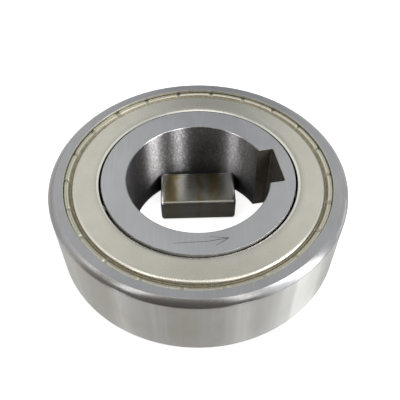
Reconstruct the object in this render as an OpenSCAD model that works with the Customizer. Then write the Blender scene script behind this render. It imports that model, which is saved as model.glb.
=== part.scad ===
// One-way sprag clutch with built-in ball bearing, and its loose drive key.
// The clutch lies flat: its axis is Z, its lower side face is at z = 0, and the
// keyway of the inner ring points along +X. Seen from above, the inner ring
// turns freely anticlockwise, as the arrow on its face shows, and locks
// clockwise. All sizes are in millimetres.

/* [Rings] */
// Outside diameter of the outer ring
outer_d = 52; // [51.6:0.1:52.4]
// Bore diameter of the inner ring
bore_d = 25; // [24.8:0.1:25.2]
// Width of both rings
width = 15; // [14.8:0.1:15.6]
// Corner rounding of the outer ring
outer_round = 1.2; // [0.8:0.05:1.4]
// Track diameter inside the outer ring
outer_track_d = 42.4; // [42.2:0.1:42.6]
// Track diameter outside the inner ring
inner_track_d = 33.8; // [33.6:0.1:34]
// Chamfer at each end of the bore
bore_chamfer = 0.2; // [0.2:0.1:0.5]
// Rounding of the inner ring's outer edges
inner_round = 0.2; // [0.1:0.05:0.25]

/* [Keyway and key] */
// Keyway width
keyway_w = 8; // [7.6:0.2:8.4]
// Keyway depth beyond the bore
keyway_t = 2; // [1.6:0.1:2.1]
// Corner radius at the keyway floor
keyway_r = 0.3; // [0.2:0.1:0.5]
// Key width
key_w = 8; // [7.6:0.2:8]
// Key height
key_h = 5; // [4.5:0.1:5.2]
// Key length
key_len = 14.5; // [13.6:0.1:14.5]
// Key edge chamfer
key_c = 0.6; // [0.3:0.05:0.6]
// Where the loose key lies, along X
key_x = 1.05; // [0.9:0.05:1.1]
// Where the loose key lies, along Y
key_y = 6.2; // [6.1:0.05:6.2]
// How far the loose key is turned, in degrees
key_turn = -8.9; // [-10:0.1:-8]

/* [Shields] */
// Bore diameter of each shield
shield_bore_d = 34.5; // [34.2:0.05:34.6]
// Sheet thickness
sheet = 0.4; // [0.3:0.05:0.4]
// How far the flat of each shield sits below the ring faces
shield_in = 0.2; // [0.2:0.05:0.3]
// Number of crimp notches in each shield's rim
crimp_n = 22; // [18:1:26]
// Width of each crimp notch
crimp_w = 0.4; // [0.4:0.1:0.8]
// Direction of the first notch on the upper shield, in degrees
crimp_a = 73; // [0:1:360]

/* [Balls and sprags] */
// Ball diameter
ball_d = 5.556; // [5.5:0.001:5.556]
// Angle from a ball to the sprag beside it, in degrees
ball_gap_a = 18; // [17.8:0.1:18.2]
// Radius of the ball grooves in both rings
groove_r = 2.89; // [2.85:0.01:2.95]
// Sprag length along the axis
sprag_len = 10; // [9.6:0.1:10]
// Sprag width across its heads
sprag_w = 3.4; // [3.2:0.1:3.4]
// Radius of the two cam faces of a sprag
cam_r = 2.6; // [2.5:0.05:2.7]
// How far each cam centre sits to the side, which sets the wedge angle
cam_off = 0.15; // [0.12:0.01:0.18]
// Gap between a sprag at rest and each track
cam_gap = 0.012; // [0.01:0.001:0.02]

/* [Cage and springs] */
// Cage width along the axis
cage_len = 12; // [11.6:0.1:12.2]
// Cage inside diameter
cage_in_d = 36; // [35.8:0.1:36.2]
// Cage outside diameter
cage_out_d = 40; // [39.8:0.1:40]
// Sprag pocket width
pocket_w = 3.5; // [3.45:0.05:3.6]
// Garter spring outside thickness
spring_d = 0.8; // [0.7:0.05:0.8]
// Distance of each garter spring from the middle plane
spring_z = 3.9; // [3.8:0.05:3.9]

/* [Direction arrow] */
// Width of the etched line
arrow_w = 0.2; // [0.15:0.05:0.3]
// Depth of the etched line
arrow_t = 0.05; // [0.04:0.01:0.1]

/* [Hidden] */
$fn = 96;
ro = outer_d / 2;
rb = bore_d / 2;
rto = outer_track_d / 2;
rti = inner_track_d / 2;
rm = (rto + rti) / 2;
// seven balls, with two sprags between each pair
ball_n = 7;
mid = width / 2;
ball_r = ball_d / 2;
share_a = 360 / ball_n;
sprag_n = 2 * ball_n;
// the recess for each shield, and the undercut that its rim snaps into
recess_r = 23.3;
undercut_r = 23.5;
lip = 0.5;
seat_in = shield_in + 0.62 + sheet;
spring_rm = 20.5;
// the arrow's line as [radius, direction]: tail, two points on the shaft, tip, two barbs
arrow_pts = [[15.2, -115.9], [14.5, -105.5], [14.36, -95.5], [14.45, -81]];
arrow_barbs = [[15.3, -90], [13.5, -92.5]];

// direction of a ball, and of a sprag: two sprags follow each ball
function ball_a(k) = (k - 1) * share_a;
function sprag_a(k) = floor((k - 1) / 2) * share_a
                      + ((k - 1) % 2 == 0 ? ball_gap_a : share_a - ball_gap_a);
function polar(p) = [p[0] * cos(p[1]), p[0] * sin(p[1])];
function arc(cx, cy, r, a0, a1, n) = [for (i = [0:n]) let (a = a0 + (a1 - a0) * i / n)
                                      [cx + r * cos(a), cy + r * sin(a)]];

// a rectangle from (x0, y0) to (x1, y1) with its corners at x1 rounded
module round_end(x0, y0, x1, y1, r) {
    translate([x0, y0]) square([x1 - r - x0, y1 - y0]);
    translate([x0, y0 + r]) square([x1 - x0, y1 - y0 - 2 * r]);
    for (y = [y0 + r, y1 - r]) translate([x1 - r, y]) circle(r);
}

// outer ring: ground outside, track with ball groove, a stepped and undercut
// seat for the shield at each end
module outer_ring() {
    color("#a7a9ac") difference() {
        rotate_extrude() difference() {
            round_end(rto, 0, ro, width, outer_round);
            // ball groove, open to the track
            translate([rm + ball_r + 0.01 - groove_r, mid]) circle(groove_r);
            for (s = [0, 1]) translate([0, s * width]) mirror([0, s]) {
                // recess, then the undercut under its lip
                translate([rto - 1, -1]) square([recess_r - rto + 1, lip + 1]);
                translate([rto - 1, lip - 0.01]) square([undercut_r - rto + 1, seat_in - lip + 0.01]);
                // small break of the track's edge
                polygon([[rto - 1, seat_in - 1], [rto - 1, seat_in + 1.12], [rto + 0.12, seat_in], [rto + 0.12, seat_in - 1]]);
            }
        }
    }
}

// straight etched line between two points, cut into the upper face
module stroke(p, q) {
    d = q - p;
    translate([p[0], p[1], width - arrow_t]) rotate([0, 0, atan2(d[1], d[0])])
        translate([-arrow_w / 2, -arrow_w / 2, 0]) cube([norm(d) + arrow_w, arrow_w, arrow_t + 1]);
}

// keyway outline, open towards the bore
module keyway() {
    translate([rb - 3, -keyway_w / 2]) square([keyway_t + 3 - keyway_r, keyway_w]);
    translate([rb - 3, keyway_r - keyway_w / 2]) square([keyway_t + 3, keyway_w - 2 * keyway_r]);
    for (s = [-1, 1]) translate([rb + keyway_t - keyway_r, s * (keyway_w / 2 - keyway_r)]) circle(keyway_r);
}

// inner ring: bore with keyway, track with ball groove, etched arrow
module inner_ring() {
    color("#b3b8bd") difference() {
        rotate_extrude() difference() {
            round_end(rb, 0, rti, width, inner_round);
            translate([rm - ball_r - 0.01 + groove_r, mid]) circle(groove_r);
            for (s = [0, 1]) translate([0, s * width]) mirror([0, s])
                polygon([[rb - 1, -1], [rb + bore_chamfer + 1, -1], [rb - 1, bore_chamfer + 1]]);
        }
        translate([0, 0, -1]) linear_extrude(width + 2) keyway();
        for (i = [0:2]) stroke(polar(arrow_pts[i]), polar(arrow_pts[i + 1]));
        for (b = arrow_barbs) stroke(polar(b), polar(arrow_pts[3]));
    }
}

// half section of a shield, with y measured inwards from the ring face: rolled
// inner edge, flat, round shoulder, flange, and the bead of the crimped rim
module shield_section() {
    r0 = shield_bore_d / 2;
    t = shield_in;
    f = t + 0.62;
    outer_side = concat(arc(r0 + 0.25, t + 0.25, 0.25, 180, 270, 5),
                        arc(21.5, t + 0.45, 0.45, -90, -8, 7),
                        [[22.02, f - 0.05], [22.12, f], [22.34, f]],
                        [for (i = [0:9]) let (a = 185 + 17 * i) [22.92 + 0.5 * cos(a), f + 0.42 * sin(a)]]);
    inner_side = [[23.42, f + 0.12], [23.35, f + sheet], [21.8, f + sheet],
                  [21.42, t + sheet], [r0, t + sheet]];
    polygon(concat(outer_side, inner_side));
}

// shield: flat sheet ring with a stepped rim, crimped in separate tongues
module shield(first_a) {
    difference() {
        rotate_extrude() shield_section();
        for (i = [0:crimp_n - 1]) rotate([0, 0, first_a + i * 360 / crimp_n])
            translate([22.4, -crimp_w / 2, -1]) cube([2, crimp_w, seat_in + 2]);
    }
}
module shield_top() { color("#bfbdb2") translate([0, 0, width]) mirror([0, 0, 1]) shield(crimp_a); }
module shield_bottom() { color("#bfbdb2") shield(crimp_a + 8); }

// cage: one ring with a round pocket for each ball and a straight one for each sprag
module cage() {
    color("#3c3a36") difference() {
        translate([0, 0, mid - cage_len / 2]) difference() {
            cylinder(d = cage_out_d, h = cage_len);
            translate([0, 0, -1]) cylinder(d = cage_in_d, h = cage_len + 2);
        }
        for (k = [1:ball_n]) rotate([0, 0, ball_a(k)]) translate([rti, 0, mid])
            rotate([0, 90, 0]) cylinder(r = ball_r + 0.06, h = rto - rti);
        for (k = [1:sprag_n]) rotate([0, 0, sprag_a(k)])
            translate([rti, -pocket_w / 2, mid - sprag_len / 2 - 0.05]) cube([rto - rti, pocket_w, sprag_len + 0.1]);
    }
}

// garter spring: a closed ring that holds the sprags against both tracks
module garter(z) {
    color("#8f9296") translate([0, 0, z]) rotate_extrude() translate([spring_rm, 0]) circle(d = spring_d);
}
module garter_top() { garter(mid + spring_z); }
module garter_bottom() { garter(mid - spring_z); }

module ball(k) {
    color("#c9cdd1") rotate([0, 0, ball_a(k)]) translate([rm, 0, mid]) sphere(r = ball_r);
}

// section of a sprag at +X: two cam faces whose centres are offset to opposite
// sides, and a narrower waist
module sprag_section() {
    c1 = rto - cam_gap - cam_r;
    c2 = rti + cam_gap + cam_r;
    difference() {
        intersection() {
            translate([sqrt(c1 * c1 - cam_off * cam_off), -cam_off]) circle(cam_r);
            translate([sqrt(c2 * c2 - cam_off * cam_off), cam_off]) circle(cam_r);
            translate([rti - 1, -sprag_w / 2]) square([rto - rti + 2, sprag_w]);
        }
        for (s = [-1, 1]) translate([rm, s * 5.45]) circle(4);
    }
}

module sprag(k) {
    color("#9a9ea3") difference() {
        rotate([0, 0, sprag_a(k)]) translate([0, 0, mid - sprag_len / 2])
            linear_extrude(sprag_len) sprag_section();
        // notches for the garter springs
        for (s = [-1, 1]) translate([0, 0, mid + s * spring_z]) rotate_extrude()
            translate([spring_rm - 0.5, -0.5]) square([3, 1]);
    }
}

// octagon of size x by y, centred
module eight(x, y, c) {
    polygon([[x / 2, y / 2 - c], [x / 2 - c, y / 2], [c - x / 2, y / 2], [-x / 2, y / 2 - c],
             [-x / 2, c - y / 2], [c - x / 2, -y / 2], [x / 2 - c, -y / 2], [x / 2, c - y / 2]]);
}

// drive key: square-ended bar, every edge chamfered, lying flat in the bore
module drive_key() {
    color("#4b453a") translate([key_x, key_y, key_h / 2]) rotate([0, 0, key_turn]) intersection() {
        translate([0, 0, -key_h]) linear_extrude(2 * key_h) eight(key_len, key_w, key_c);
        rotate([90, 0, 0]) translate([0, 0, -key_w]) linear_extrude(2 * key_w) eight(key_len, key_h, key_c);
        rotate([90, 0, 90]) translate([0, 0, -key_len]) linear_extrude(2 * key_len) eight(key_w, key_h, key_c);
    }
}

outer_ring();
inner_ring();
shield_top();
shield_bottom();
cage();
garter_top();
garter_bottom();
ball(1);  // ball_1
ball(2);  // ball_2
ball(3);  // ball_3
ball(4);  // ball_4
ball(5);  // ball_5
ball(6);  // ball_6
ball(7);  // ball_7
sprag(1);  // sprag_1
sprag(2);  // sprag_2
sprag(3);  // sprag_3
sprag(4);  // sprag_4
sprag(5);  // sprag_5
sprag(6);  // sprag_6
sprag(7);  // sprag_7
sprag(8);  // sprag_8
sprag(9);  // sprag_9
sprag(10);  // sprag_10
sprag(11);  // sprag_11
sprag(12);  // sprag_12
sprag(13);  // sprag_13
sprag(14);  // sprag_14
drive_key();
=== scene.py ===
"""Looks of a one-way sprag clutch with its loose drive key.

Lengths in the tables below are in millimetres; Blender works in metres.
The clutch lies flat on the floor, its axis is Z, and the keyway points along +X.
"""

import math
import random

import bmesh
import bpy
import numpy as np
from mathutils import Matrix, Vector


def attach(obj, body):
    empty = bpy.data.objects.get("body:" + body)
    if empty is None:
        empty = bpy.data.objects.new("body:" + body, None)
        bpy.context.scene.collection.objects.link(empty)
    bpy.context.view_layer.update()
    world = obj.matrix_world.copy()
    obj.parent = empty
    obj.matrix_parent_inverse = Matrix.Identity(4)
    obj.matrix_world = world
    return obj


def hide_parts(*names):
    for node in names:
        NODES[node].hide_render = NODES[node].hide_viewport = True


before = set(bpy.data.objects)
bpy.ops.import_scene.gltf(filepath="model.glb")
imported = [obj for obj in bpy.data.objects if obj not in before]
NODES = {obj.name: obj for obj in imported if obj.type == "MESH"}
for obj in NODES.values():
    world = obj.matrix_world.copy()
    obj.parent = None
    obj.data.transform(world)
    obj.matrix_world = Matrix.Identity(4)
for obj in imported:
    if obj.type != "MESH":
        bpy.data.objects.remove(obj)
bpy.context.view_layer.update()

MM = 0.001
WIDTH = 15.0
MID = WIDTH / 2
BORE_R = 12.5
TRACK_IN = 16.9
TRACK_OUT = 21.2
OUTER_R = 26.0
scene = bpy.context.scene


# ---------------------------------------------------------------- camera
def make_camera():
    e, dist, yaw, pitch, roll = 0.8639982, 101.16067, 0.0028249, -0.0487749, -0.0002847
    back = np.array([0, -math.cos(e), math.sin(e)])
    place = np.array([0, 0, MID]) + back * dist
    right, fwd = np.array([1.0, 0, 0]), -back
    up = np.cross(right, fwd)
    fwd = fwd + yaw * right + pitch * up
    fwd /= np.linalg.norm(fwd)
    right = np.cross(fwd, (0, 0, 1.0))
    right /= np.linalg.norm(right)
    up = np.cross(right, fwd)
    c, s = math.cos(roll), math.sin(roll)
    right, up = c * right + s * up, -s * right + c * up
    turn = np.array(Matrix.Rotation(math.radians(VIEW_TURN), 3, "Z"))
    m = Matrix.Identity(4)
    for col, v in enumerate((turn @ right, turn @ up, turn @ -fwd, turn @ place * MM)):
        for row in range(3):
            m[row][col] = v[row]
    data = bpy.data.cameras.new("camera")
    data.sensor_width = 36
    data.lens = 546.7708 / 400 * 36
    data.shift_y = 0.075
    data.clip_start, data.clip_end = 0.005, 20
    cam = bpy.data.objects.new("camera", data)
    cam.matrix_world = m
    scene.collection.objects.link(cam)
    scene.camera = cam
    return cam


# the part is turned by this much about Z from the direction square to the camera
VIEW_TURN = -10.5
camera = make_camera()


# ---------------------------------------------------------------- mesh helpers
def arc(cx, cy, r, a0, a1, n):
    """Points on an arc, from angle a0 to a1 in degrees."""
    return [
        (
            cx + r * math.cos(math.radians(a0 + (a1 - a0) * i / n)),
            cy + r * math.sin(math.radians(a0 + (a1 - a0) * i / n)),
        )
        for i in range(n + 1)
    ]


def clean(mesh, sharp=32, flat_z=True):
    """Outward normals, smooth shading with sharp edges, flat faces across the axis."""
    bm = bmesh.new()
    bm.from_mesh(mesh)
    bmesh.ops.remove_doubles(bm, verts=bm.verts, dist=1e-8)
    bmesh.ops.recalc_face_normals(bm, faces=bm.faces)
    bm.to_mesh(mesh)
    bm.free()
    mesh.shade_smooth()
    mesh.set_sharp_from_angle(angle=math.radians(sharp))
    if flat_z:
        for p in mesh.polygons:
            if abs(p.normal.z) > 0.99995:
                p.use_smooth = False
    mesh.update()


def make_object(name, verts, faces, materials, index=None, sharp=32, flat_z=True):
    mesh = bpy.data.meshes.new(name)
    mesh.from_pydata([tuple(float(c) * MM for c in v) for v in verts], [], faces)
    for m in materials:
        mesh.materials.append(m)
    if index is not None:
        mesh.polygons.foreach_set("material_index", index)
    clean(mesh, sharp, flat_z)
    obj = bpy.data.objects.new(name, mesh)
    scene.collection.objects.link(obj)
    return obj


def lathe(name, rows, seg, materials, sharp=32):
    """Turns a closed profile about Z. rows: (r, z, material of the face that starts here)."""
    n = len(rows)
    a = np.arange(seg) * 2 * np.pi / seg
    r = np.array([p[0] for p in rows])
    z = np.array([p[1] for p in rows])
    co = np.stack(
        [np.outer(np.cos(a), r), np.outer(np.sin(a), r), np.tile(z, (seg, 1))], -1
    ).reshape(-1, 3)
    faces, index = [], []
    for i in range(seg):
        k = (i + 1) % seg
        for j in range(n):
            m = (j + 1) % n
            faces.append((i * n + j, i * n + m, k * n + m, k * n + j))
            index.append(rows[j][2])
    return make_object(name, co, faces, materials, index, sharp)


def cut(obj, cutters):
    """Cuts each cutter's solid out of obj, one after another."""
    for c in cutters:
        mod = obj.modifiers.new("cut", "BOOLEAN")
        mod.operation, mod.solver, mod.object = "DIFFERENCE", "EXACT", c
        bpy.context.view_layer.update()
        got = bpy.data.meshes.new_from_object(
            obj.evaluated_get(bpy.context.evaluated_depsgraph_get())
        )
        obj.modifiers.clear()
        old = obj.data
        obj.data = got
        bpy.data.meshes.remove(old)
    for c in cutters:
        mesh = c.data
        bpy.data.objects.remove(c)
        bpy.data.meshes.remove(mesh)


def prism(levels):
    """A closed solid through outlines that have the same number of points. levels: (z, points)."""
    n = len(levels[0][1])
    verts = [(x, y, z) for z, pts in levels for x, y in pts]
    faces = [tuple(range(n))[::-1], tuple(range((len(levels) - 1) * n, len(levels) * n))]
    for l in range(len(levels) - 1):
        for j in range(n):
            m = (j + 1) % n
            faces.append((l * n + j, l * n + m, (l + 1) * n + m, (l + 1) * n + j))
    return make_object("cutter", verts, faces, [], None, 180, False)


# ---------------------------------------------------------------- materials
class Surface:
    """A metal or plastic finish made of nodes. Texture lengths are in millimetres."""

    def __init__(self, name, **fixed):
        self.mat = bpy.data.materials.new(name)
        self.mat.use_nodes = True
        self.nt = self.mat.node_tree
        self.bsdf = self.nt.nodes["Principled BSDF"]
        for key, value in fixed.items():
            self.bsdf.inputs[key.replace("_", " ")].default_value = value
        where = self.new("ShaderNodeTexCoord")
        scaled = self.new("ShaderNodeVectorMath")
        scaled.operation = "SCALE"
        scaled.inputs["Scale"].default_value = 1000
        self.nt.links.new(where.outputs["Object"], scaled.inputs[0])
        self.mm = scaled.outputs[0]
        self.split = None

    def new(self, kind):
        return self.nt.nodes.new(kind)

    def put(self, socket, value):
        if isinstance(value, bpy.types.NodeSocket):
            self.nt.links.new(value, socket)
        else:
            socket.default_value = value

    def xyz(self, k):
        if self.split is None:
            self.split = self.new("ShaderNodeSeparateXYZ")
            self.nt.links.new(self.mm, self.split.inputs[0])
        return self.split.outputs[k]

    def math(self, op, a, b=0.0, clamp=False):
        n = self.new("ShaderNodeMath")
        n.operation, n.use_clamp = op, clamp
        self.put(n.inputs[0], a)
        self.put(n.inputs[1], b)
        return n.outputs[0]

    def radius(self):
        sq = self.math(
            "ADD",
            self.math("MULTIPLY", self.xyz(0), self.xyz(0)),
            self.math("MULTIPLY", self.xyz(1), self.xyz(1)),
        )
        return self.math("SQRT", sq)

    def noise(self, scale, stretch=(1, 1, 1), shift=(0, 0, 0), turn=0.0, detail=2.0, rough=0.5, distort=0.0):
        m = self.new("ShaderNodeMapping")
        m.inputs["Scale"].default_value = stretch
        m.inputs["Location"].default_value = shift
        source = self.mm
        if turn:
            r = self.new("ShaderNodeVectorRotate")
            r.rotation_type = "Z_AXIS"
            r.inputs["Angle"].default_value = math.radians(turn)
            self.nt.links.new(self.mm, r.inputs["Vector"])
            source = r.outputs[0]
        self.nt.links.new(source, m.inputs["Vector"])
        n = self.new("ShaderNodeTexNoise")
        n.inputs["Scale"].default_value = scale
        n.inputs["Detail"].default_value = detail
        n.inputs["Roughness"].default_value = rough
        n.inputs["Distortion"].default_value = distort
        self.nt.links.new(m.outputs[0], n.inputs["Vector"])
        return n.outputs["Fac"]

    def remap(self, value, lo, hi, out_lo=0.0, out_hi=1.0, smooth=False):
        n = self.new("ShaderNodeMapRange")
        n.interpolation_type = "SMOOTHSTEP" if smooth else "LINEAR"
        n.clamp = True
        self.put(n.inputs["Value"], value)
        for key, v in (("From Min", lo), ("From Max", hi), ("To Min", out_lo), ("To Max", out_hi)):
            n.inputs[key].default_value = v
        return n.outputs[0]

    def mix(self, fac, a, b, mode="MIX"):
        n = self.new("ShaderNodeMix")
        n.data_type, n.blend_type = "RGBA", mode
        self.put(n.inputs["Factor"], fac)
        self.put(n.inputs[6], (*a, 1) if isinstance(a, tuple) else a)
        self.put(n.inputs[7], (*b, 1) if isinstance(b, tuple) else b)
        return n.outputs[2]

    def color(self, value):
        self.put(self.bsdf.inputs["Base Color"], value)

    def rough(self, value):
        self.put(self.bsdf.inputs["Roughness"], value)

    def bump(self, *heights):
        """heights: (height, depth in millimetres), added one on another."""
        last = None
        for height, depth in heights:
            n = self.new("ShaderNodeBump")
            n.inputs["Strength"].default_value = 1.0
            n.inputs["Distance"].default_value = depth * MM
            self.nt.links.new(height, n.inputs["Height"])
            if last is not None:
                self.nt.links.new(last, n.inputs["Normal"])
            last = n.outputs[0]
        self.nt.links.new(last, self.bsdf.inputs["Normal"])

    def ground_round_axis(self, amount, turn=0.25):
        """Gloss drawn out across grinding marks that run round the axis."""
        t = self.new("ShaderNodeTangent")
        t.direction_type, t.axis = "RADIAL", "Z"
        self.nt.links.new(t.outputs[0], self.bsdf.inputs["Tangent"])
        self.bsdf.inputs["Anisotropic"].default_value = amount
        self.bsdf.inputs["Anisotropic Rotation"].default_value = turn


def steel_face(name, seed, gain=1.0):
    """Side face of a ring: flat ground steel, satin, with faint straight grinding lines."""
    s = Surface(name, Metallic=1.0)
    cloud = s.noise(0.22, shift=(seed, 0, 0), detail=3)
    lines = s.noise(1.0, (2.6, 0.10, 1), (seed, 3, 0), turn=-VIEW_TURN, detail=4, rough=0.7)
    grain = s.noise(5.0, (1, 0.45, 1), (seed, 0, 5), turn=-VIEW_TURN, detail=4, rough=0.65)
    base = s.mix(s.remap(cloud, 0.35, 0.65), (0.396, 0.406, 0.415), (0.428, 0.437, 0.444))
    base = s.mix(s.remap(lines, 0.52, 0.74, 0, 0.6), base, (0.50, 0.51, 0.52))
    base = s.mix(s.remap(grain, 0.52, 0.75, 0, 0.30), base, (0.32, 0.33, 0.345))
    s.color(s.mix(1.0, base, (gain, gain, gain), "MULTIPLY"))
    s.rough(s.remap(grain, 0.3, 0.7, 0.27, 0.37))
    s.bump((grain, 0.003), (lines, 0.002))
    return s.mat


def steel_side(name):
    """Outside wall of the outer ring: ground round the axis, with faint upright chatter marks, painted upright
    reflection streaks and a painted reflection of the floor near the foot.
    """
    s = Surface(name, Metallic=1.0)
    chatter = s.noise(0.55, (1, 1, 0.03), detail=4, rough=0.6)
    hoops = s.noise(1.0, (0.12, 0.12, 9), detail=3, rough=0.7)
    grain = s.noise(4.0, (0.6, 0.6, 1.6), detail=3, rough=0.6)
    base = s.mix(s.remap(chatter, 0.35, 0.68), (0.535, 0.535, 0.515), (0.590, 0.590, 0.572))
    # soft warm and cool patches, as on handled steel
    patches = s.noise(0.17, (1, 1, 0.7), (3, 0, 0), detail=4, rough=0.6)
    base = s.mix(s.remap(patches, 0.40, 0.62, 0, 0.8, True), base, (0.530, 0.512, 0.470))
    # upright brighter bands: painted reflection streaks
    bands = s.noise(0.30, (1, 1, 0.02), (9, 4, 0), detail=5, rough=0.7)
    base = s.mix(s.remap(bands, 0.50, 0.66, 0, 0.6, True), base, (0.635, 0.642, 0.64))
    base = s.mix(s.remap(hoops, 0.5, 0.8, 0, 0.3), base, (0.65, 0.65, 0.63))
    base = s.mix(s.remap(grain, 0.55, 0.8, 0, 0.25), base, (0.43, 0.43, 0.41))
    # painted reflection of the bright floor: lighter towards the foot
    base = s.mix(s.remap(s.xyz(2), 1.0, 7.0, 0.45, 0.0, True), base, (0.70, 0.70, 0.70))
    s.color(base)
    s.rough(s.remap(chatter, 0.3, 0.7, 0.37, 0.43))
    s.bump((hoops, 0.0010), (grain, 0.0008))
    s.ground_round_axis(1.0)
    return s.mat


def steel_round(name):
    """Turned corner of the outer ring: smooth, glossier than the ground faces."""
    s = Surface(name, Metallic=1.0)
    cloud = s.noise(0.5, detail=3)
    grain = s.noise(3.0, detail=4, rough=0.6)
    base = s.mix(s.remap(cloud, 0.35, 0.68), (0.412, 0.412, 0.415), (0.378, 0.378, 0.382))
    s.color(s.mix(s.remap(grain, 0.5, 0.75, 0, 0.3), base, (0.34, 0.33, 0.325)))
    s.rough(s.remap(grain, 0.35, 0.7, 0.19, 0.25))
    s.bump((grain, 0.0012))
    return s.mat


def steel_edge(name):
    """Small deburred edges, a little uneven; their steel is painted dark, as painted shade that dims the lamps'
    highlights on them.
    """
    s = Surface(name, Metallic=1.0)
    grain = s.noise(2.4, detail=3)
    # dark base: painted shade on the bore's edge
    s.color(s.mix(s.remap(grain, 0.35, 0.7), (0.24, 0.245, 0.255), (0.17, 0.174, 0.182)))
    s.rough(s.remap(grain, 0.3, 0.7, 0.32, 0.46))
    s.bump((grain, 0.005))
    return s.mat


def bore_wall(name):
    """Ground bore under an old film of oil, its steel painted dark as painted shade, with upright speckled streaks."""
    s = Surface(name, Metallic=1.0)
    cloud = s.noise(0.35, (1, 1, 0.5), detail=4)
    speck = s.noise(3.0, (1, 1, 0.7), detail=3, rough=0.6)
    hoops = s.noise(1.0, (0.2, 0.2, 8), detail=2)
    # dark base: oily steel, darkened further as painted shade
    base = s.mix(s.remap(cloud, 0.35, 0.68), (0.200, 0.188, 0.183), (0.245, 0.238, 0.240))
    base = s.mix(s.remap(speck, 0.50, 0.62, 0, 0.70), base, (0.385, 0.406, 0.440))
    # painted shade: darker towards the foot of the bore
    base = s.mix(s.remap(s.xyz(2), 1.0, 8.0, 0.60, 0.0, True), base, (0.08, 0.08, 0.09))
    s.color(base)
    s.rough(s.remap(speck, 0.3, 0.7, 0.28, 0.34))
    s.bump((speck, 0.019), (hoops, 0.0012))
    s.ground_round_axis(1.0)
    # the oil takes the shine away at a glancing view
    s.bsdf.inputs["Specular Tint"].default_value = (0.25, 0.24, 0.235, 1)
    return s.mat


def keyway_wall(name):
    """Broached keyway, oily, with fine lines along the axis; its steel is painted dark as painted shade in the slot."""
    s = Surface(name, Metallic=1.0)
    cloud = s.noise(0.5, detail=3)
    lines = s.noise(1.0, (7, 7, 0.15), detail=3)
    # very dark base: painted shade in the keyway
    base = s.mix(s.remap(cloud, 0.35, 0.68), (0.094, 0.082, 0.066), (0.136, 0.121, 0.101))
    s.color(s.mix(s.remap(lines, 0.5, 0.75, 0, 0.35), base, (0.21, 0.192, 0.165)))
    s.rough(s.remap(lines, 0.3, 0.7, 0.45, 0.58))
    s.bump((lines, 0.003))
    return s.mat


def etched(name):
    """Laser-darkened line."""
    s = Surface(name, Metallic=0.6)
    grain = s.noise(6.0, detail=3)
    s.color(s.mix(s.remap(grain, 0.35, 0.7), (0.070, 0.066, 0.064), (0.155, 0.150, 0.146)))
    s.rough(s.remap(grain, 0.3, 0.7, 0.45, 0.62))
    s.bump((grain, 0.006))
    return s.mat


def hidden_steel(name, base_a, base_b, rough_lo, rough_hi):
    """Inner steel surfaces that sit in grease; the same finish, toned lighter or darker, gives rim and lip steel with
    painted light and shade.
    """
    s = Surface(name, Metallic=1.0)
    cloud = s.noise(0.6, detail=4)
    grain = s.noise(5.0, (1, 1, 2), detail=3)
    s.color(s.mix(s.remap(cloud, 0.35, 0.68), base_a, base_b))
    s.rough(s.remap(grain, 0.3, 0.7, rough_lo, rough_hi))
    s.bump((grain, 0.003))
    return s.mat


def plated_sheet(name, seed, first):
    """Zinc-plated pressed sheet: cream, satin and mottled, darker brown in its groove, with painted highlights and
    painted shade.
    """
    s = Surface(name, Metallic=1.0)
    r = s.radius()
    cloud = s.noise(0.28, shift=(seed, 0, 0), detail=3)
    mottle = s.noise(3.2, shift=(seed, 2, 0), detail=4, rough=0.65)
    smear = s.noise(1.6, (1, 1, 1), (seed, 7, 0), detail=4, rough=0.6)
    lines = s.noise(1.0, (3.0, 0.12, 1), (seed, 1, 0), turn=-VIEW_TURN, detail=3, rough=0.6)
    base = s.mix(s.remap(cloud, 0.35, 0.66), (0.566, 0.552, 0.478), (0.600, 0.587, 0.513))
    base = s.mix(s.remap(mottle, 0.5, 0.75, 0, 0.05), base, (0.62, 0.61, 0.55))
    base = s.mix(s.remap(lines, 0.58, 0.8, 0, 0.22), base, (0.54, 0.526, 0.463))
    # the shoulder and the rolled inner edge are painted brighter: partly burnished sheet, partly painted highlight
    shine = s.math("ADD", s.remap(r, 21.42, 21.60, 0, 0.8, True), s.remap(r, 17.74, 17.62, 0, 1, True), True)
    base = s.mix(shine, base, (0.76, 0.745, 0.67))
    # painted shade: the inner edge darkened where it drops into the gap to the inner ring
    base = s.mix(s.remap(r, 17.36, 17.31, 0, 0.9, True), base, (0.12, 0.115, 0.10))
    # olive passivation from the groove outwards, paler where the tongues are bent over
    edge = s.math("ADD", r, s.remap(smear, 0.3, 0.7, -0.012, 0.012))
    base = s.mix(s.remap(edge, 21.86, 21.98, 0, 1, True), base, (0.62, 0.60, 0.50))
    base = s.mix(s.remap(edge, 22.55, 23.10, 0, 1, True), base, (0.52, 0.50, 0.40))
    # darker brown along the bottom of the groove
    groove_brown = s.math(
        "MULTIPLY",
        s.remap(edge, 21.82, 21.92, 0, 1, True),
        s.remap(edge, 22.42, 22.58, 1, 0, True),
    )
    base = s.mix(s.math("MULTIPLY", groove_brown, s.remap(smear, 0.3, 0.6, 0.7, 0.95)), base, (0.262, 0.232, 0.160))
    # painted shade: a thin dark line where the sheet meets the ring
    base = s.mix(s.remap(edge, 23.24, 23.36, 0, 0.4, True), base, (0.26, 0.24, 0.18))
    # dull olive smudges where two tongues meet, darkened further as painted shade in the slots between them
    turn = s.math("MULTIPLY", s.math("SUBTRACT", s.math("ARCTAN2", s.xyz(1), s.xyz(0)), math.radians(first)), 22 / math.tau)
    meet = s.remap(s.math("PINGPONG", turn, 0.5), 0.08, 0.03, 0, 0.6, True)
    meet = s.math("MULTIPLY", meet, s.remap(edge, 22.40, 22.55, 0, 1, True))
    base = s.mix(meet, base, (0.33, 0.33, 0.27))
    s.color(base)
    s.rough(s.math("ADD", s.remap(mottle, 0.3, 0.7, 0.25, 0.30), s.math("MULTIPLY", s.math("ADD", meet, groove_brown), 0.22)))
    s.bump((mottle, 0.00012), (cloud, 0.02))
    return s.mat


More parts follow.
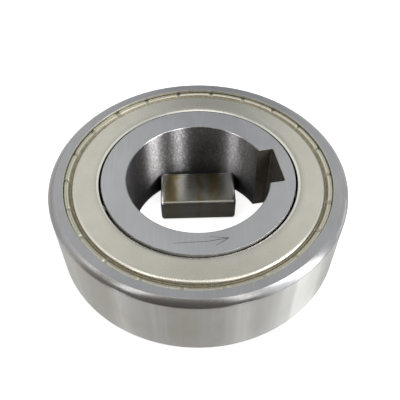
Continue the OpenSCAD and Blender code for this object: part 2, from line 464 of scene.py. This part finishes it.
def dark_key(name):
    """Cold-drawn key stock: glossy, oily, with olive stains on top; its sides are painted dark as painted shade and its
    upper edges carry wear and a painted highlight.
    """
    s = Surface(name, Metallic=1.0)
    cloud = s.noise(0.30, detail=4, rough=0.6)
    patchy = s.noise(0.55, (1, 0.5, 1), (4.2, 1.0, 0), turn=8.9, detail=4, rough=0.6, distort=0.4)
    # distance along the key, wandering a little
    c, w = math.cos(math.radians(8.9)), math.sin(math.radians(8.9))
    px, py = s.math("SUBTRACT", s.xyz(0), 1.05), s.math("SUBTRACT", s.xyz(1), 6.2)
    length = s.math("SUBTRACT", s.math("MULTIPLY", px, c), s.math("MULTIPLY", py, w))
    across = s.math("ADD", s.math("MULTIPLY", px, w), s.math("MULTIPLY", py, c))
    along = s.math("ADD", length, s.remap(s.noise(0.5, detail=3), 0.3, 0.7, -0.5, 0.5))
    stain = 0.0
    for place, wide in ((-5.1, 1.9), (0.3, 0.8), (3.1, 1.5)):
        off = s.math("ABSOLUTE", s.math("SUBTRACT", along, place))
        stain = s.math("ADD", stain, s.remap(off, wide, wide * 0.25, 0, 1, True), True)
    stain = s.math("MULTIPLY", stain, s.remap(patchy, 0.30, 0.55, 0.25, 1.0, True))
    lines = s.noise(1.0, (0.14, 3.0, 3.0), (1, 0, 0), turn=8.9, detail=3, rough=0.6)
    speck = s.noise(4.5, detail=3, rough=0.6)
    base = s.mix(s.remap(cloud, 0.35, 0.68), (0.158, 0.157, 0.137), (0.200, 0.198, 0.176))
    base = s.mix(s.remap(lines, 0.5, 0.78, 0, 0.35), base, (0.34, 0.336, 0.31))
    # painted shade: the top darker towards its far end
    base = s.mix(s.remap(length, 4.0, 6.2, 0, 0.65, True), base, (0.10, 0.098, 0.088))
    base = s.mix(s.math("MULTIPLY", stain, 0.85), base, (0.150, 0.112, 0.045))
    base = s.mix(s.remap(speck, 0.60, 0.74, 0, 0.35), base, (0.14, 0.130, 0.105))
    # painted shade: the key's sides darker than its top
    base = s.mix(s.remap(s.xyz(2), 4.60, 4.30, 0, 0.80, True), base, (0.095, 0.090, 0.076))
    # the rounded upper edges: worn bright, and painted brighter still as a painted highlight
    worn = s.math(
        "MAXIMUM",
        s.remap(s.math("ABSOLUTE", length), 6.72, 6.92, 0, 1, True),
        s.remap(s.math("ABSOLUTE", across), 3.46, 3.66, 0, 1, True),
    )
    worn = s.math("MULTIPLY", worn, s.remap(s.xyz(2), 4.52, 4.72, 0, 1, True))
    worn = s.math("MULTIPLY", worn, s.remap(speck, 0.35, 0.60, 0.9, 0.45))
    base = s.mix(worn, base, (0.48, 0.47, 0.43))
    s.color(base)
    s.rough(s.remap(speck, 0.3, 0.7, 0.31, 0.39))
    s.bump((lines, 0.002), (speck, 0.0025))
    return s.mat


def chrome_steel(name, base, lo, hi):
    """Polished or lapped rolling steel."""
    s = Surface(name, Metallic=1.0)
    cloud = s.noise(0.8, detail=3)
    scratch = s.noise(2.0, (5, 0.4, 1), detail=3)
    dark = tuple(c * 0.86 for c in base)
    s.color(s.mix(s.remap(cloud, 0.35, 0.68), base, dark))
    s.rough(s.remap(scratch, 0.4, 0.8, lo, hi))
    s.bump((scratch, 0.0008))
    return s.mat


def polyamide(name):
    """Moulded dark plastic with a fine grain."""
    s = Surface(name, Metallic=0.0)
    cloud = s.noise(0.4, detail=3)
    grain = s.noise(9.0, detail=3)
    s.color(s.mix(s.remap(cloud, 0.35, 0.68), (0.030, 0.028, 0.026), (0.050, 0.047, 0.043)))
    s.rough(s.remap(grain, 0.3, 0.7, 0.42, 0.58))
    s.bump((grain, 0.01))
    return s.mat


M_FACE_OUT = steel_face("outer_face_steel", 0.0, 0.92)
M_FACE_IN = steel_face("inner_face_steel", 11.0, 1.09)
M_SIDE = steel_side("outer_side_steel")
M_ROUND = steel_round("corner_steel")
M_EDGE = steel_edge("deburred_edge_steel")
M_BORE = bore_wall("oiled_bore_steel_with_painted_shade")
M_KEYWAY = keyway_wall("broached_keyway_steel")
M_ETCH = etched("etched_line")
M_TRACK = hidden_steel("track_steel", (0.30, 0.30, 0.31), (0.42, 0.42, 0.43), 0.20, 0.30)
M_RECESS = hidden_steel("greased_recess_steel", (0.30, 0.28, 0.22), (0.42, 0.395, 0.33), 0.35, 0.55)
# painted shade: the inner ring's rim seen in the gap under the shield is darker than the track steel
M_GAP = hidden_steel("dull_rim_steel", (0.20, 0.195, 0.185), (0.28, 0.273, 0.26), 0.60, 0.75)
# painted shade: the inner ring's rounded outer edge is dark so the lamps leave no highlight on it
M_RIM = hidden_steel("rim_edge_steel", (0.14, 0.14, 0.14), (0.19, 0.19, 0.19), 0.50, 0.62)
# painted light: the lip steel is paler than the face, lifting the shade in the recess under the lip
M_LIP = hidden_steel("lip_steel", (0.56, 0.55, 0.50), (0.66, 0.65, 0.60), 0.30, 0.42)
M_SHEET_TOP = plated_sheet("plated_sheet_top", 0.0, 73)
M_SHEET_BOTTOM = plated_sheet("plated_sheet_bottom", 23.0, 81)
M_KEY = dark_key("dark_key_steel")
M_BALL = chrome_steel("polished_ball_steel", (0.62, 0.63, 0.645), 0.06, 0.13)
M_SPRAG = chrome_steel("hardened_sprag_steel", (0.40, 0.405, 0.41), 0.20, 0.32)
M_SPRING = chrome_steel("spring_wire_steel", (0.46, 0.455, 0.44), 0.22, 0.34)
M_CAGE = polyamide("cage_polyamide")


# ---------------------------------------------------------------- outer ring
def mirrored(upper):
    """Upper half of a ring's profile, from the middle plane up and over, and its mirror image."""
    lower = [(r, WIDTH - z, m) for r, z, m in upper]
    back = []
    for k in range(len(lower) - 1, -1, -1):
        # a face takes the material of the upper face that it mirrors
        back.append((lower[k][0], lower[k][1], lower[k - 1][2] if k > 0 else lower[0][2]))
    return back


def outer_ring():
    face, side, rnd, dark, track, lip = range(6)
    mats = [M_FACE_OUT, M_SIDE, M_ROUND, M_RECESS, M_TRACK, M_LIP]
    # the corner was turned before the faces were ground, so it meets both at an edge
    big, t0, t1 = 3.28, 25.0, 52.0
    corner = []
    for i in range(15):
        t = math.radians(t1 + (t0 - t1) * i / 14)
        corner.append((
            24.8 + big * (math.sin(t) - math.sin(math.radians(t0))),
            WIDTH - big * (math.cos(math.radians(t0)) - math.cos(t)),
        ))
    up = [(OUTER_R, z, side) for z in (MID, 9.5, 11.5, 13.2)]
    up += [(OUTER_R, corner[0][1] - 0.06, side), (OUTER_R - 0.012, corner[0][1] - 0.02, rnd)]
    up += [(r - 0.03 * (k == 0), z, rnd) for k, (r, z) in enumerate(corner[:-1])]
    up += [(24.83, WIDTH - 0.012, rnd), (24.76, WIDTH, face), (24.2, WIDTH, face), (23.42, WIDTH, face)]
    up += [(23.37, WIDTH, lip), (23.325, WIDTH - 0.02, lip), (23.30, WIDTH - 0.07, lip)]
    up += [(23.30, 14.53, lip), (23.33, 14.5, dark), (23.5, 14.5, dark), (23.5, 13.78, dark)]
    up += [(21.32, 13.78, dark), (21.2, 13.66, track), (21.2, 11.3, track)]
    half = math.degrees(math.asin(1.8112 / 2.89))
    up += [(r, z, track) for r, z in arc(18.948, MID, 2.89, half, 0, 10)]
    low = mirrored(up)
    # the lower corner is turned away a little further than the upper one
    low = [(OUTER_R - (OUTER_R - r) * 1.25, z * 1.4, m) if r > 24.5 and z < 1.3 else (r, z, m) for r, z, m in low]
    # the middle points are shared by both halves
    rows = up[:-1] + low[:-1]
    obj = lathe("outer_ring_ground", rows, 384, mats, 17)
    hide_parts("outer_ring")
    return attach(obj, "outer_race")


# ---------------------------------------------------------------- inner ring
def keyway_outline(grow):
    """Keyway seen along the axis, open towards the bore, widened by grow on each side."""
    r, x1, y1 = 0.3 + grow, 14.2, 3.7
    pts = [(9.5, -4 - grow)]
    pts += arc(x1, -y1, r, -90, 0, 6)
    pts += arc(x1, y1, r, 0, 90, 6)
    pts += [(9.5, 4 + grow)]
    return pts


def stroke_outline(p, q, w0, w1):
    """A straight stroke from p to q that is w0 wide at p and w1 wide at q, with round ends."""
    a = math.degrees(math.atan2(q[1] - p[1], q[0] - p[0]))
    return arc(q[0], q[1], w1 / 2, a - 90, a + 90, 6) + arc(p[0], p[1], w0 / 2, a + 90, a + 270, 6)


def polar(r, deg):
    return (r * math.cos(math.radians(deg)), r * math.sin(math.radians(deg)))


def inner_ring():
    mats = [M_FACE_IN, M_BORE, M_EDGE, M_TRACK, M_KEYWAY, M_ETCH, M_GAP, M_RIM]
    rd, ch = 0.1, 0.2
    up = [(TRACK_IN, WIDTH - 1.2, 0), (TRACK_IN, WIDTH - rd - 0.02, 0)]
    up += [(r, z, 0) for r, z in arc(TRACK_IN - rd, WIDTH - rd, rd, 0, 90, 8)]
    up += [(TRACK_IN - rd - 0.03, WIDTH, 0), (BORE_R + ch + 0.03, WIDTH, 0)]
    up += [(r, z, 0) for r, z in arc(BORE_R + ch, WIDTH - ch, ch, 90, 180, 8)]
    low = [(r, WIDTH - z, 0) for r, z, _ in reversed(up)]
    half = math.degrees(math.asin(1.8112 / 2.89))
    groove = [(r, z, 0) for r, z in arc(19.152, MID, 2.89, 180 + half, 180 - half, 14)]
    inside = [(BORE_R, z, 0) for z in (12.0, 9.5, 7.5, 5.5, 3.0)]
    rows = up + inside + low + [(TRACK_IN, 3.5, 0)] + groove + [(TRACK_IN, 11.5, 0)]
    obj = lathe("inner_ring_ground", rows, 360, mats)
    e = 0.07
    cutters = [
        prism([
            (-1.0, keyway_outline(1.0 + e)),
            (e, keyway_outline(0.0)),
            (WIDTH - e, keyway_outline(0.0)),
            (WIDTH + 1.0, keyway_outline(1.0 + e)),
        ])
    ]
    pts = [polar(15.2, -115.9), polar(14.5, -105.5), polar(14.36, -95.5), polar(14.45, -81)]
    lines = [
        (pts[0], pts[1], 0.07, 0.12), (pts[1], pts[2], 0.12, 0.13), (pts[2], pts[3], 0.13, 0.17),
        (polar(15.3, -90), pts[3], 0.07, 0.17), (polar(13.5, -92.5), pts[3], 0.07, 0.17),
    ]
    for p, q, w0, w1 in lines:
        shape = stroke_outline(p, q, w0, w1)
        cutters.append(prism([(WIDTH - 0.05, shape), (WIDTH + 0.5, shape)]))
    cut(obj, cutters)
    mesh = obj.data
    clean(mesh)
    for p in mesh.polygons:
        x, y, z = (c / MM for c in p.center)
        nz, r = abs(p.normal.z), math.hypot(x, y)
        down = min(z, WIDTH - z)
        if x > 8 and abs(y) < 4.25 and (r > BORE_R + 0.05 or nz < 0.3) and r < 15.2 and not (nz > 0.99 and down < 0.01):
            on_bore = abs(r - BORE_R) < 0.04 and abs(y) > 3.9
            p.material_index = 1 if on_bore else 4
            if abs(r - BORE_R) < 0.03 and nz < 0.3 and abs(y) > 4.0:
                p.material_index = 1
        elif nz > 0.99 and down < 0.01:
            p.material_index = 0
        elif 13.2 < r < 15.9 and z > WIDTH - 0.06:
            p.material_index = 5
        elif r < 12.53:
            p.material_index = 1
        elif r < 13.0:
            p.material_index = 2
        elif r > 16.6 and down < 0.25:
            p.material_index = 7
        elif r > 16.8 and down < 1.2:
            p.material_index = 6
        else:
            p.material_index = 3
    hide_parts("inner_ring")
    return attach(obj, "inner_race")


# ---------------------------------------------------------------- shields
def smooth(t):
    t = min(max(t, 0.0), 1.0)
    return t * t * (3 - 2 * t)


def shield(name, node, material, first, top, seed):
    """Pressed sheet ring: rolled inner edge, flat, shoulder, groove, and a rim crimped in tongues."""
    rng = random.Random(seed)
    t, f = 0.2, 0.82
    # the flat part falls a little from the inner edge to the shoulder
    a, b = t - 0.08, t + 0.09
    seen = arc(17.37, a + 0.29, 0.12, 180, 245, 6)
    seen += [(17.40, a + 0.143), (17.52, a + 0.087), (17.64, a + 0.033), (17.70, a + 0.012)]
    seen += [(17.78, a), (18.8, a + 0.058), (20.0, a + 0.117), (21.10, b)]
    seen += [
        (r, b + d)
        for r, d in (
            (21.20, 0.004), (21.30, 0.016), (21.40, 0.038), (21.50, 0.070), (21.60, 0.112), (21.68, 0.155),
            (21.75, 0.20), (21.81, 0.25), (21.86, 0.31), (21.90, 0.38), (21.94, 0.46), (21.98, 0.54),
            (22.03, 0.57), (22.10, 0.58), (22.18, 0.57),
        )
    ]
    bead = len(seen)
    crest = [
        (22.25, 0.03), (22.31, 0.08), (22.37, 0.14), (22.43, 0.20), (22.49, 0.26), (22.55, 0.31), (22.62, 0.355),
        (22.70, 0.39), (22.80, 0.415), (22.90, 0.43), (23.00, 0.43), (23.10, 0.42), (23.18, 0.39), (23.25, 0.33),
        (23.30, 0.26), (23.35, 0.17), (23.39, 0.07),
    ]
    seen += [(r, f - h) for r, h in crest]
    bead_end = len(seen)
    under = [(23.41, 0.74), (23.42, 0.94), (23.35, 1.22), (22.9, 1.22), (22.35, 1.22)]
    under += [(21.84, 1.22), (21.62, 0.98), (21.42, 0.62), (20.0, 0.60), (17.60, 0.60)]
    under += arc(17.53, 0.32, 0.28, 90, 150, 3)[1:]
    prof = np.array(seen + under)
    n = len(prof)
    count = 22
    pitch = 360 / count
    near = [0.0, 0.30, 0.42, 0.54, 0.66, 0.78, 0.92, 1.08, 1.3, 1.6, 2.0, 2.5]
    steps = near + list(np.linspace(3.1, pitch - 3.1, 20)) + [pitch - s for s in reversed(near[1:])]
    cols, tongue = [], []
    for k in range(count):
        for s in steps:
            cols.append((first + k * pitch + s, s))
            tongue.append(k)
    lift = [
        (rng.uniform(-0.025, 0.03), rng.uniform(-0.03, 0.02), rng.uniform(-0.03, 0.03), rng.uniform(-0.15, 0.15),
         rng.uniform(0.36, 0.52), rng.uniform(0.36, 0.52))
        for _ in range(count)
    ]
    verts = []
    for (deg, s), k in zip(cols, tongue):
        dz, dr, tilt, shift, wide_a, wide_b = lift[k]
        u = s / pitch * 2 - 1
        # 1 on the tongue, 0 in the slot between two tongues; the tongue's ends are rounded
        ahead = (s - wide_a) / 0.55
        behind = (pitch - s - wide_b) / 0.55
        on = 0.58 + 0.42 * smooth(min(ahead, behind))
        end = math.exp(-((max(min(s - wide_a, pitch - s - wide_b), 0.0) / 1.1) ** 2))
        for j, (r, d) in enumerate(prof):
            if bead <= j < bead_end:
                w = max((f - d) / 0.42, 0)
                full = 1 + (dz + tilt * u) / 0.42 - 0.12 * end
                d = f - (f - d) * on * full
                r += dr * w * on + 0.03 * w * end * (1 if r < 22.95 else 0)
            a = math.radians(deg)
            verts.append((r * math.cos(a), r * math.sin(a), WIDTH - d if top else d))
    faces = []
    total = len(cols)
    for i in range(total):
        k = (i + 1) % total
        for j in range(n):
            m = (j + 1) % n
            faces.append((i * n + j, i * n + m, k * n + m, k * n + j))
    obj = make_object(name, verts, faces, [material], None, 48)
    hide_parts(node)
    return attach(obj, "outer_race")


# ---------------------------------------------------------------- springs
def garter(name, node, z):
    """Closed coil spring laid round the sprags."""
    turns, per, sides = 400, 9, 5
    wire, coil, big = 0.085, 0.31, 20.5
    m = turns * per
    t = np.arange(m) / m * 2 * np.pi
    w = t * turns
    out = np.stack([np.cos(t), np.sin(t), 0 * t], -1)
    up = np.array([0, 0, 1.0])
    centre = out * big + (out * np.cos(w)[:, None] + up * np.sin(w)[:, None]) * coil
    tangent = np.roll(centre, -1, 0) - np.roll(centre, 1, 0)
    tangent /= np.linalg.norm(tangent, axis=1)[:, None]
    n1 = out * np.cos(w)[:, None] + up * np.sin(w)[:, None]
    n1 -= tangent * (n1 * tangent).sum(1)[:, None]
    n1 /= np.linalg.norm(n1, axis=1)[:, None]
    n2 = np.cross(tangent, n1)
    verts = []
    for k in range(sides):
        a = 2 * np.pi * k / sides
        verts.append(centre + wire * (n1 * math.cos(a) + n2 * math.sin(a)))
    verts = np.stack(verts, 1).reshape(-1, 3) + (0, 0, z)
    faces = []
    for i in range(m):
        p = (i + 1) % m
        for k in range(sides):
            q = (k + 1) % sides
            faces.append((i * sides + k, i * sides + q, p * sides + q, p * sides + k))
    obj = make_object(name, verts, faces, [M_SPRING], None, 90, False)
    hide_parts(node)
    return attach(obj, "cage_set")


# ---------------------------------------------------------------- drive key
def drive_key():
    """Square-ended key: rounded edges that are slightly worn and nicked."""
    bm = bmesh.new()
    bmesh.ops.create_cube(bm, size=1.0)
    bmesh.ops.scale(bm, vec=(14.5, 8.0, 5.0), verts=bm.verts)
    bmesh.ops.bevel(bm, geom=list(bm.edges), offset=0.6, offset_type="OFFSET", segments=7, profile=0.48, affect="EDGES")
    for axis, half, step in ((0, 7.25, 0.55), (1, 4.0, 0.55), (2, 2.5, 0.6)):
        v = -half + 0.75
        normal = [0, 0, 0]
        normal[axis] = 1
        while v < half - 0.7:
            at = [0, 0, 0]
            at[axis] = v
            bmesh.ops.bisect_plane(bm, geom=bm.verts[:] + bm.edges[:] + bm.faces[:], plane_co=at, plane_no=normal)
            v += step
    rng = random.Random(5)
    phase = [rng.uniform(0, 6.28) for _ in range(9)]
    for v in bm.verts:
        x, y, z = v.co
        wear = (
            math.sin(x * 1.7 + phase[0]) * math.sin(y * 2.1 + phase[1])
            + math.sin(x * 4.3 + phase[2]) * math.sin(z * 3.7 + phase[3])
            + math.sin(y * 5.1 + phase[4]) * math.sin(x * 6.1 + phase[5])
        ) / 3
        near = sum(1 for c, h in ((x, 7.25), (y, 4.0), (z, 2.5)) if abs(c) > h - 0.62)
        if near >= 2:
            v.co *= 1 - 0.0035 * (0.5 + 0.5 * wear)
    mesh = bpy.data.meshes.new("drive_key_bar")
    bmesh.ops.rotate(bm, verts=bm.verts, cent=(0, 0, 0), matrix=Matrix.Rotation(math.radians(-8.9), 3, "Z"))
    bmesh.ops.translate(bm, verts=bm.verts, vec=(1.05, 6.2, 2.5))
    bmesh.ops.scale(bm, vec=(MM, MM, MM), verts=bm.verts)
    bm.to_mesh(mesh)
    bm.free()
    mesh.materials.append(M_KEY)
    clean(mesh, 50, False)
    obj = bpy.data.objects.new("drive_key_bar", mesh)
    scene.collection.objects.link(obj)
    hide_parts("drive_key")
    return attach(obj, "loose_key")


outer_ring()
INNER = inner_ring()
shield("shield_top_pressed", "shield_top", M_SHEET_TOP, 73, True, 3)
shield("shield_bottom_pressed", "shield_bottom", M_SHEET_BOTTOM, 81, False, 8)
garter("garter_top_coil", "garter_top", MID + 3.9)
garter("garter_bottom_coil", "garter_bottom", MID - 3.9)
drive_key()


def finish_node(name, material):
    mesh = NODES[name].data
    mesh.materials.clear()
    mesh.materials.append(material)


finish_node("cage", M_CAGE)
for k in range(1, 8):
    finish_node(f"ball_{k}", M_BALL)
for k in range(1, 15):
    finish_node(f"sprag_{k}", M_SPRAG)


# ---------------------------------------------------------------- floor and light
def make_floor():
    """Plain matt white floor; it shows as the white of the background in the picture."""
    mesh = bpy.data.meshes.new("floor")
    h, z = 3.0, -0.00004
    mesh.from_pydata([(-h, -h, z), (h, -h, z), (h, h, z), (-h, h, z)], [], [(0, 1, 2, 3)])
    mat = bpy.data.materials.new("pale_floor")
    mat.use_nodes = True
    nt = mat.node_tree
    b = nt.nodes["Principled BSDF"]
    b.inputs["Base Color"].default_value = (*FLOOR_GREY, 1)
    b.inputs["Roughness"].default_value = 0.9
    b.inputs["Specular IOR Level"].default_value = 0.1
    glow = nt.nodes.new("ShaderNodeEmission")
    glow.inputs["Color"].default_value = (FLOOR_GLOW, FLOOR_GLOW, FLOOR_GLOW, 1)
    path = nt.nodes.new("ShaderNodeLightPath")
    nt.links.new(path.outputs["Is Camera Ray"], glow.inputs["Strength"])
    both = nt.nodes.new("ShaderNodeAddShader")
    nt.links.new(b.outputs[0], both.inputs[0])
    nt.links.new(glow.outputs[0], both.inputs[1])
    nt.links.new(both.outputs[0], nt.nodes["Material Output"].inputs["Surface"])
    mesh.materials.append(mat)
    obj = bpy.data.objects.new("floor", mesh)
    scene.collection.objects.link(obj)


def toward(az, el):
    """Unit direction at an azimuth from the camera's right-hand side, and an elevation."""
    a, e = math.radians(az + VIEW_TURN), math.radians(el)
    return Vector((math.cos(a) * math.cos(e), math.sin(a) * math.cos(e), math.sin(e)))


def panel(name, az, el, dist, radiance, tint=(1, 1, 1), aim=(0, 0, 0.012)):
    """Rectangular light that covers a range of azimuth and of elevation in degrees, seen from aim."""
    a, e = (az[0] + az[1]) / 2, (el[0] + el[1]) / 2
    wide = 2 * dist * math.tan(math.radians(az[1] - az[0]) / 2) * math.cos(math.radians(e))
    high = 2 * dist * math.tan(math.radians(el[1] - el[0]) / 2)
    data = bpy.data.lights.new(name, "AREA")
    data.shape, data.size, data.size_y = "RECTANGLE", wide, high
    data.energy = radiance * math.pi * wide * high
    data.color = tint
    d = toward(a, e)
    obj = bpy.data.objects.new(name, data)
    obj.location = Vector(aim) + d * dist
    obj.rotation_mode = "QUATERNION"
    obj.rotation_quaternion = (-d).to_track_quat("-Z", "Y")
    obj.visible_camera = False
    scene.collection.objects.link(obj)
    return obj


def make_world():
    """A pale studio: darker behind the camera and in a narrow strip straight behind the part."""
    world = bpy.data.worlds.new("studio")
    scene.world = world
    world.use_nodes = True
    nt = world.node_tree
    nt.nodes.clear()

    def new(kind, **props):
        n = nt.nodes.new(kind)
        for k, v in props.items():
            setattr(n, k, v)
        return n

    def put(socket, value):
        if isinstance(value, bpy.types.NodeSocket):
            nt.links.new(value, socket)
        else:
            socket.default_value = value

    def dot(direction):
        n = new("ShaderNodeVectorMath", operation="DOT_PRODUCT")
        nt.links.new(where.outputs["Generated"], n.inputs[0])
        n.inputs[1].default_value = direction
        return n.outputs["Value"]

    def calc(op, a, b=0.0):
        n = new("ShaderNodeMath", operation=op)
        put(n.inputs[0], a)
        put(n.inputs[1], b)
        return n.outputs[0]

    def step(value, lo, hi, out_lo=0.0, out_hi=1.0):
        n = new("ShaderNodeMapRange", interpolation_type="SMOOTHSTEP")
        put(n.inputs["Value"], value)
        for key, v in (("From Min", lo), ("From Max", hi), ("To Min", out_lo), ("To Max", out_hi)):
            n.inputs[key].default_value = v
        return n.outputs[0]

    def ramp(value, stops):
        half = new("ShaderNodeMapRange")
        half.inputs["From Min"].default_value = -1
        put(half.inputs["Value"], value)
        n = new("ShaderNodeValToRGB")
        nt.links.new(half.outputs[0], n.inputs[0])
        el = n.color_ramp.elements
        first, last = stops[0], stops[-1]
        el[0].position, el[0].color = (first[0] + 1) / 2, (*first[1], 1)
        el[1].position, el[1].color = (last[0] + 1) / 2, (*last[1], 1)
        for v, c in stops[1:-1]:
            el.new((v + 1) / 2).color = (*c, 1)
        return n.outputs[0]

    def mix(fac, a, b):
        n = new("ShaderNodeMix", data_type="RGBA")
        put(n.inputs["Factor"], fac)
        put(n.inputs[6], a)
        put(n.inputs[7], b)
        return n.outputs[2]

    def tone(level, tint):
        return tuple(level * c for c in tint)

    out = new("ShaderNodeOutputWorld")
    where = new("ShaderNodeTexCoord")
    side, depth, height = dot(toward(0, 0)), dot(toward(90, 0)), dot((0, 0, 1))

    cool, pale, plain, warm = (0.965, 1.0, 1.06), (1.0, 1.0, 1.0), (1.0, 1.0, 0.995), (1.08, 1.0, 0.89)
    strip = ramp(height, [(z, tone(v, cool if z < 0.8 else pale)) for z, v in BACK_STRIP])
    back = ramp(height, [(z, tone(v, plain)) for z, v in BACK])
    sky = mix(step(calc("ABSOLUTE", calc("SUBTRACT", side, 0.035)), 0.05, 0.20), strip, back)
    near = dot(toward(-97, 0))
    room = ramp(near, [(d, tone(v, warm)) for d, v in FRONT])
    sky = mix(step(near, 0.0, 0.35), sky, room)
    # a wide pale reflector on the right
    az = calc("ARCTAN2", depth, side)
    edge = math.radians
    patch = calc(
        "MULTIPLY",
        calc("MULTIPLY", step(az, edge(-55), edge(-36)), step(az, edge(40), edge(55), 1.0, 0.0)),
        step(height, 0.70, 0.90, 1.0, 0.0),
    )
    warmth = step(az, edge(-25), edge(5), RIGHT[0], RIGHT[1])
    glow = new("ShaderNodeCombineColor")
    for k, c in enumerate((0.985, 1.0, 1.015)):
        put(glow.inputs[k], calc("MULTIPLY", warmth, c))
    sky = mix(patch, sky, glow.outputs[0])

    light = new("ShaderNodeBackground")
    nt.links.new(sky, light.inputs["Color"])
    white = new("ShaderNodeBackground")
    white.inputs["Color"].default_value = (1.0, 1.0, 1.0, 1)
    path = new("ShaderNodeLightPath")
    pick = new("ShaderNodeMixShader")
    nt.links.new(path.outputs["Is Camera Ray"], pick.inputs[0])
    nt.links.new(light.outputs[0], pick.inputs[1])
    nt.links.new(white.outputs[0], pick.inputs[2])
    nt.links.new(pick.outputs[0], out.inputs["Surface"])


FLOOR_GREY = (0.86, 0.86, 0.855)
FLOOR_GLOW = 0.75
# radiance against the height of the direction (its sine)
BACK_STRIP = [
    (-1.0, 0.28), (-0.05, 0.28), (0.30, 0.28), (0.50, 0.28), (0.56, 0.36), (0.61, 0.54), (0.66, 0.35), (0.72, 0.38),
    (0.81, 0.76), (0.86, 0.71), (0.91, 0.67), (0.96, 0.32), (1.0, 0.28),
]
BACK = [(-1.0, 0.55), (-0.05, 0.55), (0.30, 0.75), (0.50, 0.90), (0.70, 0.98), (0.85, 0.90), (0.90, 0.75), (0.96, 0.32), (1.0, 0.28)]
# radiance against the cosine of the angle to the camera's side
FRONT = [(-1.0, 0.7), (0.20, 0.70), (0.375, 0.35), (0.50, 0.27), (0.64, 0.20), (0.77, 0.16), (1.0, 0.12)]
RIGHT = (1.4, 0.78)
make_floor()
make_world()
right_panel = panel("right_panel", (-27.5, -6), (8, 58), 0.6, 2.9)
panel("right_low_panel", (8, 27), (0.5, 4.5), 0.6, 1.5)
panel("left_low_panel", (176, 195), (0.5, 4), 0.6, 1.5)
panel("front_right_strip", (-66, -48), (35, 72), 0.5, 1.7)
panel("front_left_strip", (-151.6, -131.6), (35, 72), 0.5, 1.8)
panel("left_strip", (-173.5, -169.5), (35, 72), 0.5, 1.8)
panel("overhead", (-165, -29), (71, 99), 0.5, 1.15)
panel("left_edge_strip", (185, 202), (30, 40), 0.5, 0.45)
# slim upright lights that draw faint bands on the outside wall
slim = []
for k, (az, half, radiance) in enumerate(((-26.0, 1.3, 3.6), (-15.5, 1.3, 3.0), (-64.0, 5.5, 2.6), (-138.0, 4.0, 3.0))):
    slim.append(panel(f"slim_{k + 1}", (az - half, az + half), (1, 12), 0.6, radiance))


def light_group(name, obj, state):
    """A collection that limits a light to one object, or keeps the light off it."""
    group = bpy.data.collections.new(name)
    group.objects.link(obj)
    group.collection_objects[0].light_linking.link_state = state
    return group


# small lamps over the bore, which light nothing else
bore_only = light_group("bore_only", INNER, "INCLUDE")
all_but_bore = light_group("all_but_bore", INNER, "EXCLUDE")
for lamp in [right_panel] + slim:
    lamp.light_linking.receiver_collection = all_but_bore
for name, az, el, radiance in (
    ("bore_right", (-28, -12), (14, 36), 62.0),
    ("bore_front_right", (-67, -53), (14, 36), 41.0),
    ("bore_front_left", (-150, -137), (14, 36), 29.0),
    ("bore_left", (-173.0, -170.0), (14, 36), 9.0),
):
    lamp = panel(name, az, el, 0.5, radiance)
    lamp.light_linking.receiver_collection = bore_only

scene.view_settings.view_transform = "Standard"
scene.view_settings.look = "None"
scene.view_settings.exposure = 0.0
scene.view_settings.gamma = 1.0
